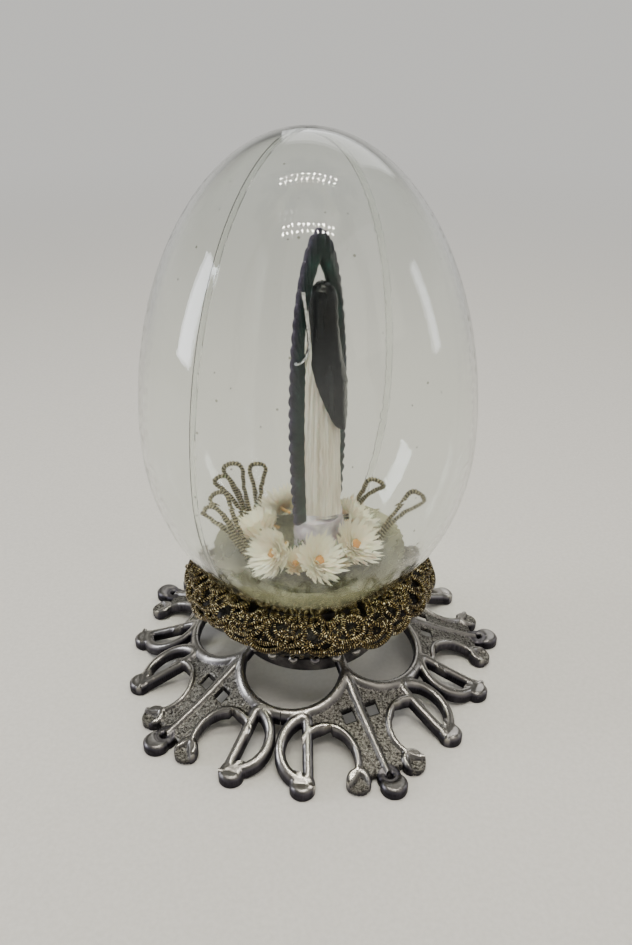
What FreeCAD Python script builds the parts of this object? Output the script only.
import FreeCAD, Part
import math
import os

# Clear two-half plastic egg holding a small figurine scene, standing in a nest of metal-thread
# gimp on a cast filigree foot.  Millimetres.  +Z is up, the origin is on the foot's axis at the
# level it stands on, and the scene is looked at from -Y.

# ---- Cast foot -------------------------------------------------------------------------------
FOOT_UNITS = 5                # leaves round the foot
FIRST_LEAF_ANGLE = -67.0      # direction of the first leaf, from +X
CASTING_THICKNESS = 3.0       # through the raised rails
WEB_THICKNESS = 1.3           # stippled web between the rails
WEB_RECESS = 0.9              # rail tops down to the web
RAIL_WIDTH = 2.6              # half-round rails round the loops and openings
COLLAR_RADIUS = 20.0          # round which the leaves start
COLLAR_CASTING_TOP = 16.4     # top of the casting at the collar
SLOPE_MID_RADIUS = 36.0
SLOPE_MID_TOP = 7.6
FLAT_INSIDE_HOLE = 1.0        # the casting lies flat from this far inside the hole outwards
LEAF_HOLE_DIAMETER = 1.6
LEAF_TIP_RADIUS = 50.9        # centre of the round lobe at the leaf tip
LEAF_HOLE_INSET = 2.3         # lobe centre in to the small hole
LEAF_TIP_LOBE = 3.3
LEAF_SIDE_LOBE = 3.0
LEAF_SIDE_LOBE_INSET = 3.9    # tip lobe centre in to the side lobes
LEAF_SIDE_LOBE_OFFSET = 7.4   # side lobes off the rib
LEAF_BODY_HALF_WIDTH = 8.6
LEAF_SHOULDER_RADIUS = 33.4   # outer edge of the shoulders
LEAF_SHOULDER_HALF_WIDTH = 14.6
LEAF_WAIST_CUT = 6.7          # radius of the scallop between leaf and loop
LEAF_WAIST_PLACE = (40.0, 12.5)
RIB_HALF_WIDTH = 0.95
WINDOW_SIZE = 3.1
WINDOW_START = 31.0
OPENING_CENTRE = 19.5         # ellipse cut between two leaf roots
OPENING_DEPTH = 11.0
OPENING_HALF_WIDTH = 12.3
LOOP_BAR_START = (33.0, 5.6)  # straight side of a loop, along and off the parting line
LOOP_BAR_END = (44.4, 8.4)
LOOP_BELLY = (38.2, 2.75)
LOOP_TIP_LOBE = 3.1
LOOP_TIP_PLACE = (46.5, 8.8)
PARTING_GAP = 0.1             # each leaf stops this far from the groove between two loops

# ---- Collar, pearl border and gimp -----------------------------------------------------------
COLLAR_WALL = 2.0
COLLAR_BOTTOM = 12.6
NECK_RADIUS = 19.2
NECK_START = 17.0
SEAT_GAP = 0.25               # egg to collar
PEARLS = 25
PEARL_DIAMETER = 2.7
PEARL_CIRCLE = 21.9
PEARL_HEIGHT = 18.0
PEARL_BAND = 1.9              # height of the band that the pearls stand out from
PEARL_BAND_THICKNESS = 1.65
GIMP_RING_WIDTH = 6.4
GIMP_RING_HEIGHT = 8.6
GIMP_RING_GAP = 0.3
GIMP_FRONT_RADIUS = 28.8      # centre of the wider gimp along the front
GIMP_FRONT_HEIGHT = 30.8
GIMP_FRONT_LENGTH = 4.9
GIMP_FRONT_THICKNESS = 3.1
GIMP_FRONT_LEAN = 35.0
GIMP_FRONT_SPAN = 196.0

# ---- Egg shell -------------------------------------------------------------------------------
EGG_BOTTOM = 24.5
EGG_DIAMETER = 80.0
EGG_LOWER = 48.5              # bottom up to the widest place
EGG_UPPER = 68.0              # widest place up to the top
SHELL_WALL = 1.2
LIP_LENGTH = 1.6
LIP_WALL = 0.55
LIP_GAP = 0.1
SEAM_ANGLE = 54.0             # direction of the seam's plane, from +X; the arch stands along it

# ---- Bed and scene ---------------------------------------------------------------------------
BED_TOP = 35.5
BED_GAP = 0.3
DISC_RADIUS = 17.2
DISC_THICKNESS = 1.5
SCENE_CENTRE = (2.8, -0.4)
PLINTH_HALF_LENGTH = 7.8
PLINTH_HALF_WIDTH = 6.4
PLINTH_HEIGHT = 12.8
PLINTH_ROUNDING = 2.4
GOWN_HALF_WIDTH = 4.8
GOWN_HALF_DEPTH = 5.8
GOWN_HEIGHT = 52.7
HEAD_RADIUS = 2.35
HEAD_HALF_HEIGHT = 3.1
VEIL_THICKNESS = 0.7
VEIL_GAP = 0.28               # veil to head
VEIL_SIDE_DROP = 9.5          # neck down to where the veil opens at the sides
VEIL_HEM_SIDE_DROP = 9.0      # neck down to the line of the hem, at the sides and at the back
VEIL_HEM_BACK_DROP = 28.0
ARCH_HALF_WIDTH = 11.0
ARCH_SPRING = 26.0            # foot of the arch up to where the sides start to close
ARCH_HEADROOM = 11.3          # neck up to the point of the opening
ARCH_CROWN = 6.5              # from there up to the arch's own point
ARCH_FOOT_HALF_WIDTH = 9.6
ARCH_THICKNESS = 1.6
ARCH_SHIFT = -0.6             # arch to figure, along the arch's plane
ARCH_SCALLOP = 3.0
ARCH_SCALLOP_DEPTH = 0.6
ARCH_OPENING_HALF_WIDTH = 6.3
WIRE_DIAMETER = 0.8
WIRE_DROP = 4.6               # opening's point down to the wire's upper end
WIRE_LENGTH = 15.6            # upper end down to the hook
FLOWERS = 7
FIRST_FLOWER_ANGLE = -80.0
FLOWER_CIRCLE = 13.3
FLOWER_DIAMETER = 10.0
FLOWER_HEIGHT = 5.4           # head centre above the disc
FLOWER_LEAN = 40.0
FLOWER_EYE = 1.7
BULLION_DIAMETER = 1.3
BULLION_CIRCLE = 16.4

# ---- Worked out from the above ---------------------------------------------------------------
EGG_WIDEST = EGG_BOTTOM + EGG_LOWER
EGG_RADIUS = EGG_DIAMETER / 2
LEAF_PITCH = 360.0 / FOOT_UNITS
FLOOR_LEVEL = BED_TOP + DISC_THICKNESS
PLINTH_TOP = FLOOR_LEVEL + PLINTH_HEIGHT
NECK_TOP = PLINTH_TOP + GOWN_HEIGHT
VEIL_SIDE_LEVEL = NECK_TOP - VEIL_SIDE_DROP
VEIL_HEM_SIDE = NECK_TOP - VEIL_HEM_SIDE_DROP
VEIL_HEM_BACK = NECK_TOP - VEIL_HEM_BACK_DROP
ARCH_OPENING_HEIGHT = GOWN_HEIGHT + ARCH_HEADROOM
ARCH_RISE = ARCH_OPENING_HEIGHT + ARCH_CROWN - ARCH_SPRING
LEAF_HOLE_RADIUS = LEAF_TIP_RADIUS - LEAF_HOLE_INSET
SLOPE_END_RADIUS = LEAF_HOLE_RADIUS - FLAT_INSIDE_HOLE
LEAF_SIDE_LOBE_PLACE = (LEAF_TIP_RADIUS - LEAF_SIDE_LOBE_INSET, LEAF_SIDE_LOBE_OFFSET)
UP = FreeCAD.Vector(0, 0, 1)
CENTRE = FreeCAD.Vector(0, 0, 0)
TALL = 60.0                   # plan shapes are drawn out this far before they are trimmed


def vec(x, y, z=0.0):
    return FreeCAD.Vector(x, y, z)


def polar(radius, degrees, z=0.0):
    turn = math.radians(degrees)
    return vec(radius * math.cos(turn), radius * math.sin(turn), z)


def turned(shape, degrees):
    copy = shape.copy()
    copy.rotate(CENTRE, UP, degrees)
    return copy


def face(edges):
    return Part.Face(Part.Wire(edges))


def polygon(points):
    closed = [vec(*p) for p in points]
    return Part.Face(Part.makePolygon(closed + closed[:1]))


def disc(centre, radius):
    return face([Part.makeCircle(radius, vec(*centre))])


def revolved(section, span=360.0):
    return section.revolve(CENTRE, UP, span)


def egg_height(radius, inset=0.0):
    """Height of the lower half of the egg's surface, moved inwards by inset, at a radius."""
    share = radius / (EGG_RADIUS - inset)
    return EGG_WIDEST - (EGG_LOWER - inset) * math.sqrt(1 - share * share)


def ellipse_quarter(half_width, half_height, up):
    """Quarter of an ellipse round the widest place, from the axis out to the widest radius."""
    middle = vec(0, 0, EGG_WIDEST)
    tip = vec(0, 0, EGG_WIDEST + (half_height if up else -half_height))
    side = vec(half_width, 0, EGG_WIDEST)
    if half_height > half_width:
        curve = Part.Ellipse(tip, side, middle)
    else:
        curve = Part.Ellipse(side, tip, middle)
    first = curve.parameter(side)
    last = curve.parameter(tip)
    quarter = math.pi / 2
    if abs((last - first) % (2 * math.pi) - quarter) < 1e-6:
        return curve.toShape(first, first + quarter)
    return curve.toShape(last, last + quarter)


def egg_section(inset):
    """Half section of the egg's surface moved inwards by inset."""
    lower = ellipse_quarter(EGG_RADIUS - inset, EGG_LOWER - inset, False)
    upper = ellipse_quarter(EGG_RADIUS - inset, EGG_UPPER - inset, True)
    axis = Part.makeLine(vec(0, 0, EGG_BOTTOM + inset), vec(0, 0, EGG_WIDEST + EGG_UPPER - inset))
    return Part.Face(Part.Wire(Part.sortEdges([lower, upper, axis])[0]))


def egg_solid(inset, span=360.0):
    return revolved(egg_section(inset), span)


# ---- Foot: five sloping leaves, each with two loops ------------------------------------------
def slope_arc(drop):
    """Top line of the casting, from the collar out to where it lies flat, lowered by drop."""
    start = vec(COLLAR_RADIUS, 0, COLLAR_CASTING_TOP - drop)
    middle = vec(SLOPE_MID_RADIUS, 0, SLOPE_MID_TOP - drop)
    end = vec(SLOPE_END_RADIUS, 0, CASTING_THICKNESS - drop)
    return start, end, Part.Arc(start, middle, end).toShape()


def slope_layer(top_drop, thickness):
    """Ring that follows the slope of the casting, between two depths below its top."""
    reach = LEAF_TIP_RADIUS + LEAF_TIP_LOBE + 1
    start, end, top = slope_arc(top_drop)
    low_start, low_end, low = slope_arc(top_drop + thickness)
    rim = vec(reach, 0, end.z)
    low_rim = vec(reach, 0, low_end.z)
    edges = [top, Part.makeLine(end, rim), Part.makeLine(rim, low_rim), Part.makeLine(low_rim, low_end),
             low, Part.makeLine(low_start, start)]
    return revolved(Part.Face(Part.Wire(Part.sortEdges(edges)[0])))


def across_parting(point, side):
    """Turns (distance along the parting line, distance off it) into the leaf's own plan."""
    half = math.radians(LEAF_PITCH / 2)
    along, off = point
    x = along * math.cos(half) + off * math.sin(half)
    y = along * math.sin(half) - off * math.cos(half)
    return vec(x, side * y)


def loop_hole(side):
    start = across_parting(LOOP_BAR_START, side)
    end = across_parting(LOOP_BAR_END, side)
    belly = across_parting(LOOP_BELLY, side)
    return face([Part.Arc(start, belly, end).toShape(), Part.makeLine(end, start)])


def opening(side, grown=0.0):
    """Ellipse between two leaf roots, grown by the rail round it."""
    outline = Part.Ellipse(vec(0, OPENING_HALF_WIDTH + grown), vec(OPENING_DEPTH + grown, 0), CENTRE)
    shape = face([outline.toShape()])
    shape.translate(vec(OPENING_CENTRE, 0))
    return turned(shape, side * LEAF_PITCH / 2)


def bar(x0, x1, half0, half1):
    return polygon([(x0, -half0), (x1, -half1), (x1, half1), (x0, half0)])


def leaf_rails():
    """Plan of everything that stands up to the full thickness of the casting."""
    body = bar(COLLAR_RADIUS - 1, LEAF_HOLE_RADIUS, RIB_HALF_WIDTH + 0.4, RIB_HALF_WIDTH - 0.3)
    body = body.fuse(disc((LEAF_TIP_RADIUS, 0), LEAF_TIP_LOBE))
    reach = bar(COLLAR_RADIUS - 1, LEAF_SHOULDER_RADIUS + 1, LEAF_SHOULDER_HALF_WIDTH + 6,
                LEAF_SHOULDER_HALF_WIDTH + 6)
    for side in (-1, 1):
        rail = opening(side, RAIL_WIDTH).cut(opening(side)).common(reach)
        body = body.fuse(rail)
        hole = loop_hole(side)
        ring = hole.makeOffset2D(RAIL_WIDTH)
        tip = across_parting(LOOP_TIP_PLACE, side)
        ring = ring.fuse(disc((tip.x, tip.y), LOOP_TIP_LOBE)).cut(hole)
        body = body.fuse(ring)
        lobe_x, lobe_y = LEAF_SIDE_LOBE_PLACE
        scoop = disc((lobe_x, side * lobe_y), LEAF_SIDE_LOBE)
        body = body.fuse(scoop.cut(disc((lobe_x + 0.6, side * lobe_y), LEAF_SIDE_LOBE * 0.5)))
        cut_x, cut_y = LEAF_WAIST_PLACE
        rim = disc((cut_x, side * cut_y), LEAF_WAIST_CUT + RAIL_WIDTH / 2)
        rim = rim.cut(disc((cut_x, side * cut_y), LEAF_WAIST_CUT))
        body = body.fuse(rim.common(leaf_web_outline()))
    return body.cut(disc((LEAF_HOLE_RADIUS, 0), LEAF_HOLE_DIAMETER / 2))


def leaf_web_outline():
    shoulders = bar(COLLAR_RADIUS - 1, LEAF_SHOULDER_RADIUS, LEAF_SHOULDER_HALF_WIDTH, LEAF_SHOULDER_HALF_WIDTH)
    blade = bar(LEAF_SHOULDER_RADIUS - 1, LEAF_SIDE_LOBE_PLACE[0], LEAF_BODY_HALF_WIDTH, LEAF_BODY_HALF_WIDTH)
    return shoulders.fuse(blade)


def leaf_web():
    """Plan of the thin stippled web."""
    web = leaf_web_outline()
    for side in (-1, 1):
        lobe_x, lobe_y = LEAF_SIDE_LOBE_PLACE
        web = web.fuse(disc((lobe_x, side * lobe_y), LEAF_SIDE_LOBE))
        web = web.cut(opening(side))
        cut_x, cut_y = LEAF_WAIST_PLACE
        web = web.cut(disc((cut_x, side * cut_y), LEAF_WAIST_CUT))
        near = RIB_HALF_WIDTH + 0.7
        window = polygon([(WINDOW_START, side * near), (WINDOW_START + WINDOW_SIZE, side * near),
                          (WINDOW_START + WINDOW_SIZE, side * (near + WINDOW_SIZE)),
                          (WINDOW_START, side * (near + WINDOW_SIZE))])
        web = web.cut(window)
    return web.cut(disc((LEAF_HOLE_RADIUS, 0), LEAF_HOLE_DIAMETER / 2))


def sector_wedge():
    """The part of the plan that belongs to one leaf, up to the grooves beside it."""
    reach = LEAF_TIP_RADIUS + LEAF_TIP_LOBE + 2
    half = math.radians(LEAF_PITCH / 2)
    shift = PARTING_GAP / math.sin(half)
    far = vec(reach, 0)
    left = vec(shift + reach * math.cos(half), reach * math.sin(half))
    right = vec(left.x, -left.y)
    wedge = face([Part.makeLine(vec(shift, 0), right), Part.Arc(right, vec(far.x + shift, 0), left).toShape(),
                  Part.makeLine(left, vec(shift, 0))])
    return wedge.cut(disc((0, 0), COLLAR_RADIUS)).extrude(vec(0, 0, TALL))


def foot_sector():
    wedge = sector_wedge()
    rails = leaf_rails().extrude(vec(0, 0, TALL)).common(slope_layer(0, CASTING_THICKNESS)).common(wedge)
    web = leaf_web().extrude(vec(0, 0, TALL)).common(slope_layer(WEB_RECESS, WEB_THICKNESS)).common(wedge)
    return rails.fuse(web).removeSplitter()


# ---- Collar that carries the egg, pearl border, gimp -----------------------------------------
def cast_collar():
    bore = COLLAR_RADIUS - COLLAR_WALL - (COLLAR_RADIUS - NECK_RADIUS)
    section = polygon([(bore, 0, COLLAR_BOTTOM), (COLLAR_RADIUS, 0, COLLAR_BOTTOM),
                       (COLLAR_RADIUS, 0, COLLAR_CASTING_TOP), (NECK_RADIUS, 0, NECK_START),
                       (NECK_RADIUS, 0, egg_height(NECK_RADIUS) - SEAT_GAP),
                       (bore, 0, egg_height(bore) - SEAT_GAP)])
    return revolved(section)


def bead_border():
    """Band round the neck with a flat behind each pearl."""
    inner = NECK_RADIUS + 0.05
    half_pitch = 180.0 / PEARLS
    corner = (inner + PEARL_BAND_THICKNESS) / math.cos(math.radians(half_pitch))
    corners = [polar(corner, (2 * i + 1) * half_pitch) for i in range(PEARLS)]
    plan = Part.Face(Part.makePolygon(corners + corners[:1])).cut(disc((0, 0), inner))
    band = plan.extrude(vec(0, 0, PEARL_BAND))
    band.translate(vec(0, 0, PEARL_HEIGHT - PEARL_BAND / 2))
    for i in range(PEARLS):
        angle = 2 * i * half_pitch
        pearl = Part.makeSphere(PEARL_DIAMETER / 2, polar(PEARL_CIRCLE, angle, PEARL_HEIGHT), polar(1, angle))
        band = band.fuse(pearl)
    return band


def oval_section(radius, height, half_length, half_thickness, lean):
    middle = vec(0, 0, 0)
    section = face([Part.Ellipse(vec(half_length, 0), vec(0, half_thickness), middle).toShape()])
    section.rotate(CENTRE, vec(1, 0, 0), 90)
    section.rotate(CENTRE, vec(0, 1, 0), lean)
    section.translate(vec(radius, 0, height))
    return section


def gimp_ring():
    radius = NECK_RADIUS + GIMP_RING_GAP + GIMP_RING_WIDTH / 2
    height = PEARL_HEIGHT + PEARL_DIAMETER / 2 + GIMP_RING_GAP + GIMP_RING_HEIGHT / 2
    return revolved(oval_section(radius, height, GIMP_RING_HEIGHT / 2, GIMP_RING_WIDTH / 2, 90))


def gimp_front():
    section = oval_section(GIMP_FRONT_RADIUS, GIMP_FRONT_HEIGHT, GIMP_FRONT_LENGTH,
                           GIMP_FRONT_THICKNESS, GIMP_FRONT_LEAN)
    band = turned(revolved(section, GIMP_FRONT_SPAN), -90 - GIMP_FRONT_SPAN / 2)
    return band.cut(gimp_ring())


# ---- Two halves of the shell, with a lip on the back half that plugs into the front half -----
def seam_slab(start, end):
    """Block between two distances past the seam, on the front half's side."""
    size = 3 * EGG_DIAMETER
    block = Part.makeBox(size, end - start, size, vec(-size / 2, start, -size / 4))
    return turned(block, SEAM_ANGLE)


def shell_half(front):
    start = SEAM_ANGLE + (0 if front else 180)
    half = egg_solid(0, 180).cut(egg_solid(SHELL_WALL, 180))
    return turned(half, start)


def shell_back():
    lip = egg_solid(LIP_WALL + LIP_GAP).cut(egg_solid(SHELL_WALL)).common(seam_slab(0, LIP_LENGTH))
    return shell_half(False).fuse(lip)


def shell_front():
    rebate = egg_solid(LIP_WALL).cut(egg_solid(SHELL_WALL + 0.5)).common(seam_slab(-1, LIP_LENGTH + LIP_GAP))
    return shell_half(True).cut(rebate)


# ---- Bed, disc and plinth --------------------------------------------------------------------
def resin_bed():
    """Poured bed that fills the bottom of the egg."""
    block = Part.makeCylinder(EGG_RADIUS, BED_TOP - EGG_BOTTOM, vec(0, 0, EGG_BOTTOM))
    return egg_solid(SHELL_WALL + BED_GAP).common(block)


def scene_disc():
    return Part.makeCylinder(DISC_RADIUS, DISC_THICKNESS, vec(0, 0, BED_TOP))


def in_scene(shape):
    """Turns a shape drawn facing +Y round the origin to its place in the scene."""
    placed = turned(shape, SEAM_ANGLE)
    placed.translate(vec(*SCENE_CENTRE))
    return placed


def ellipse_column(half_width, half_depth, height, base):
    outline = Part.Ellipse(vec(half_width, 0), vec(0, half_depth), CENTRE)
    if half_depth > half_width:
        outline = Part.Ellipse(vec(0, half_depth), vec(half_width, 0), CENTRE)
    column = face([outline.toShape()]).extrude(vec(0, 0, height))
    column.translate(vec(0, 0, base))
    return column


def cloud_plinth():
    block = ellipse_column(PLINTH_HALF_LENGTH, PLINTH_HALF_WIDTH, PLINTH_HEIGHT, FLOOR_LEVEL)
    top_edges = [e for e in block.Edges if e.BoundBox.ZMin > PLINTH_TOP - 0.01]
    return in_scene(block.makeFillet(PLINTH_ROUNDING, top_edges))


# ---- Figurine: gown, head, joined hands, veil ------------------------------------------------
def squeezed(shape, x_share, y_share):
    matrix = FreeCAD.Matrix()
    matrix.scale(x_share, y_share, 1)
    return shape.transformGeometry(matrix)


def gown_profile():
    """Half section of the gown from the hem to the neck, for a hem radius of 5."""
    base = PLINTH_TOP
    shares = [(0, 1.0), (0.30, 0.92), (0.55, 0.86), (0.74, 0.72), (0.90, 0.46), (1.0, 0.26)]
    points = [vec(5 * r, 0, base + h * GOWN_HEIGHT) for h, r in shares]
    curve = Part.BSplineCurve()
    curve.interpolate(points)
    top = vec(0, 0, points[-1].z)
    bottom = vec(0, 0, base)
    edges = [Part.makeLine(bottom, points[0]), curve.toShape(), Part.makeLine(points[-1], top),
             Part.makeLine(top, bottom)]
    return Part.Face(Part.Wire(edges))


def gown_plain():
    return squeezed(revolved(gown_profile()), GOWN_HALF_WIDTH / 5, GOWN_HALF_DEPTH / 5)


def head_height():
    return NECK_TOP + HEAD_HALF_HEIGHT * 0.86


def head_plain():
    ball = Part.makeSphere(HEAD_RADIUS)
    matrix = FreeCAD.Matrix()
    matrix.scale(1, 1.08, HEAD_HALF_HEIGHT / HEAD_RADIUS)
    head = ball.transformGeometry(matrix)
    head.translate(vec(0, 0, head_height()))
    return head


def figure_gown():
    return in_scene(gown_plain())


def figure_head():
    """Head set on the flat top of the neck."""
    size = 60.0
    below_neck = Part.makeBox(size, size, size, vec(-size / 2, -size / 2, NECK_TOP - size))
    return in_scene(head_plain().cut(below_neck))


def figure_hands():
    """Joined hands held up before the chest, fingers upwards."""
    chest = PLINTH_TOP + 0.78 * GOWN_HEIGHT
    palms = Part.makeCone(1.3, 0.5, 5.2, vec(0, GOWN_HALF_DEPTH * 0.9, chest), vec(0, 0.12, 1))
    sleeves = Part.makeCone(1.6, 1.2, 3.0, vec(0, GOWN_HALF_DEPTH * 0.62, chest - 1.6), vec(0, 1, 0.6))
    return in_scene(palms.fuse(sleeves).cut(gown_plain()))


def veil_line(inset):
    """Line down the veil's side from its crown to the hem, moved inwards by inset."""
    over_head = VEIL_GAP + VEIL_THICKNESS - inset
    crown = head_height() + HEAD_HALF_HEIGHT + over_head
    curve = Part.BSplineCurve()
    curve.interpolate([vec(0, 0, crown), vec(HEAD_RADIUS * 0.6 + over_head / 2, 0, crown - 0.75),
                       vec(HEAD_RADIUS + over_head, 0, crown - 3.6),
                       vec(0.72 * GOWN_HALF_WIDTH - 0.9 + over_head, 0, VEIL_SIDE_LEVEL + 7),
                       vec(0.8 * GOWN_HALF_WIDTH - 0.5 + over_head, 0, VEIL_SIDE_LEVEL),
                       vec(GOWN_HALF_WIDTH - 0.2 + over_head, 0, VEIL_SIDE_LEVEL - 7),
                       vec(GOWN_HALF_WIDTH + over_head, 0, VEIL_HEM_BACK)])
    return curve.toShape()


def veil_cloak():
    """The veil as a closed bell, before its opening and hem are cut."""
    outside = veil_line(0)
    inside = veil_line(VEIL_THICKNESS)
    crown = Part.makeLine(outside.Vertexes[0].Point, inside.Vertexes[0].Point)
    hem = Part.makeLine(outside.Vertexes[-1].Point, inside.Vertexes[-1].Point)
    section = Part.Face(Part.Wire(Part.sortEdges([outside, hem, inside, crown])[0]))
    return squeezed(revolved(section), 1, GOWN_HALF_DEPTH / GOWN_HALF_WIDTH)


def figure_veil():
    """Black veil over the crown and back, open at the face, its hem sloping down to the back."""
    size = 60.0
    face_side = ARCH_THICKNESS / 2 + 0.15
    before_arch = Part.makeBox(size, size, size, vec(-size / 2, -face_side, VEIL_SIDE_LEVEL - size))
    before_face = Part.makeBox(size, size, size, vec(-size / 2, HEAD_RADIUS * 0.45, VEIL_SIDE_LEVEL - 1))
    reach = GOWN_HALF_DEPTH
    slope = math.degrees(math.atan2(VEIL_HEM_SIDE - VEIL_HEM_BACK, reach))
    hem = Part.makeBox(size, 2 * size, size, vec(-size / 2, -size, -size))
    hem.rotate(CENTRE, vec(1, 0, 0), slope)
    hem.translate(vec(0, -reach, VEIL_HEM_BACK))
    return in_scene(veil_cloak().cut(before_arch).cut(before_face).cut(hem))


# ---- Scalloped arch round the figure, with its wire tie --------------------------------------
def arch_half_width(height):
    """Half width of the arch's outside at a height above its foot."""
    if height < ARCH_SPRING:
        share = height / ARCH_SPRING
        return ARCH_FOOT_HALF_WIDTH + (ARCH_HALF_WIDTH - ARCH_FOOT_HALF_WIDTH) * math.sin(share * math.pi / 2)
    share = (height - ARCH_SPRING) / ARCH_RISE
    return ARCH_HALF_WIDTH * math.sqrt(max(0.0, 1 - share * share))


def arch_outside():
    """Outline drawn as a run of small arcs, one for each scallop."""
    top = ARCH_SPRING + ARCH_RISE
    heights = []
    height = 0.0
    while height < top - 0.4:
        heights.append(height)
        lean = math.hypot(1, (arch_half_width(height) - arch_half_width(height + 0.3)) / 0.3)
        height += ARCH_SCALLOP / lean
    right = [vec(arch_half_width(h), 0, h) for h in heights] + [vec(0, 0, top)]
    left = [vec(-p.x, 0, p.z) for p in reversed(right[:-1])]
    corners = right + left
    edges = []
    for a, b in zip(corners[:-1], corners[1:]):
        along = (b - a).normalize()
        outwards = vec(along.z, 0, -along.x)
        edges.append(Part.Arc(a, (a + b) * 0.5 + outwards * ARCH_SCALLOP_DEPTH, b).toShape())
    edges.append(Part.makeLine(corners[-1], corners[0]))
    return Part.Face(Part.Wire(edges))


def arch_inside():
    """Pointed opening that the figure stands in."""
    low = -1.0
    spring = 0.62 * ARCH_OPENING_HEIGHT
    side = ARCH_OPENING_HALF_WIDTH
    apex = vec(0, 0, ARCH_OPENING_HEIGHT)
    right_foot = vec(side - 0.6, 0, low)
    right_spring = vec(side - 0.5, 0, spring)
    left_foot = vec(-right_foot.x, 0, low)
    left_spring = vec(-right_spring.x, 0, spring)
    right_mid = vec(0.72 * side, 0, spring + 0.62 * (ARCH_OPENING_HEIGHT - spring))
    left_mid = vec(-right_mid.x, 0, right_mid.z)
    return face([Part.Arc(right_foot, vec(side, 0, spring * 0.4), right_spring).toShape(),
                 Part.Arc(right_spring, right_mid, apex).toShape(),
                 Part.Arc(apex, left_mid, left_spring).toShape(),
                 Part.Arc(left_spring, vec(-side, 0, spring * 0.4), left_foot).toShape(),
                 Part.makeLine(left_foot, right_foot)])


def arch_frame():
    plate = arch_outside().cut(arch_inside()).extrude(vec(0, ARCH_THICKNESS, 0))
    plate.translate(vec(ARCH_SHIFT, -ARCH_THICKNESS / 2, PLINTH_TOP))
    return in_scene(plate)


def binding_wire():
    """Bright wire hooked round the near leg of the arch."""
    face_y = -(ARCH_THICKNESS + WIRE_DIAMETER) / 2 - 0.05
    top = PLINTH_TOP + ARCH_OPENING_HEIGHT - WIRE_DROP
    start = vec(2.8 - ARCH_HALF_WIDTH, face_y, top)
    turn = vec(4.8 - ARCH_HALF_WIDTH, face_y, top - WIRE_LENGTH + 4.1)
    low = vec(3.6 - ARCH_HALF_WIDTH, face_y, top - WIRE_LENGTH + 0.4)
    end = vec(-0.1 - ARCH_HALF_WIDTH, face_y, top - WIRE_LENGTH)
    radius = WIRE_DIAMETER / 2
    path = Part.Wire([Part.makeLine(start, turn), Part.Arc(turn, low, end).toShape()])
    ring = Part.Wire([Part.makeCircle(radius, start, turn - start)])
    return in_scene(path.makePipeShell([ring], True, False))


# ---- Dried flower heads and bullion loops ----------------------------------------------------
def flower(degrees):
    radius = FLOWER_DIAMETER / 2
    section = polygon([(0, 0, -1.5), (1.2, 0, -1.4), (0.7 * radius, 0, -0.7), (radius, 0, 0.6),
                       (radius - 0.3, 0, 1.1), (0.6 * radius, 0, 0.5), (FLOWER_EYE, 0, 0.3),
                       (0.75 * FLOWER_EYE, 0, 1.1), (0, 0, 1.5)])
    head = revolved(section)
    head.rotate(CENTRE, vec(0, 1, 0), FLOWER_LEAN)
    head.translate(vec(FLOWER_CIRCLE, 0, FLOOR_LEVEL + FLOWER_HEIGHT))
    stalk = Part.makeCylinder(0.6, FLOWER_HEIGHT - 0.6, vec(FLOWER_CIRCLE, 0, FLOOR_LEVEL))
    return turned(head.fuse(stalk), degrees)


def bullion_loop(root, eye, eye_radius):
    """Stalk of bullion wire that ends in an open eye."""
    start = polar(BULLION_CIRCLE, root, FLOOR_LEVEL + BULLION_DIAMETER / 2)
    centre = vec(*eye)
    along = (centre - start).normalize()
    end = centre - along * eye_radius
    radius = BULLION_DIAMETER / 2
    stalk = Part.makeCylinder(radius, (end - start).Length, start, along)
    side = along.cross(vec(0, 1, 0))
    ring = Part.makeTorus(eye_radius, radius, centre, along.cross(side))
    return stalk.fuse(ring)


# direction of the root, centre of the eye, radius of the eye
BULLION = {
    "bullion_loop_1": (156, (-19.6, 6.0, 57.0), 3.0),
    "bullion_loop_2": (203, (-23.0, 1.0, 51.0), 3.0),
    "bullion_loop_3": (147, (-13.6, 12.0, 53.5), 2.4),
    "bullion_loop_4": (49, (17.6, 9.0, 50.5), 2.6),
    "bullion_loop_5": (-3, (27.6, 3.0, 49.5), 3.2),
}


def build():
    parts = {
        "cast_collar": cast_collar(),
        "bead_border": bead_border(),
        "gimp_ring": gimp_ring(),
        "gimp_front": gimp_front(),
        "shell_back": shell_back(),
        "shell_front": shell_front(),
        "resin_bed": resin_bed(),
        "scene_disc": scene_disc(),
        "cloud_plinth": cloud_plinth(),
        "figure_gown": figure_gown(),
        "figure_head": figure_head(),
        "figure_hands": figure_hands(),
        "figure_veil": figure_veil(),
        "arch_frame": arch_frame(),
        "binding_wire": binding_wire(),
    }
    leaf = foot_sector()
    for i in range(FOOT_UNITS):
        parts["foot_sector_%d" % (i + 1)] = turned(leaf, FIRST_LEAF_ANGLE + i * LEAF_PITCH)
    for i in range(FLOWERS):
        parts["flower_%d" % (i + 1)] = flower(FIRST_FLOWER_ANGLE + i * 360.0 / FLOWERS)
    for name, (root, eye, eye_radius) in BULLION.items():
        parts[name] = bullion_loop(root, eye, eye_radius)
    return parts


def main():
    os.makedirs("parts", exist_ok=True)
    for name, shape in build().items():
        shape.exportStep("parts/%s.step" % name)
        print("%-16s solids %d  valid %s  volume %.1f" % (name, len(shape.Solids), shape.isValid(), shape.Volume))


main()
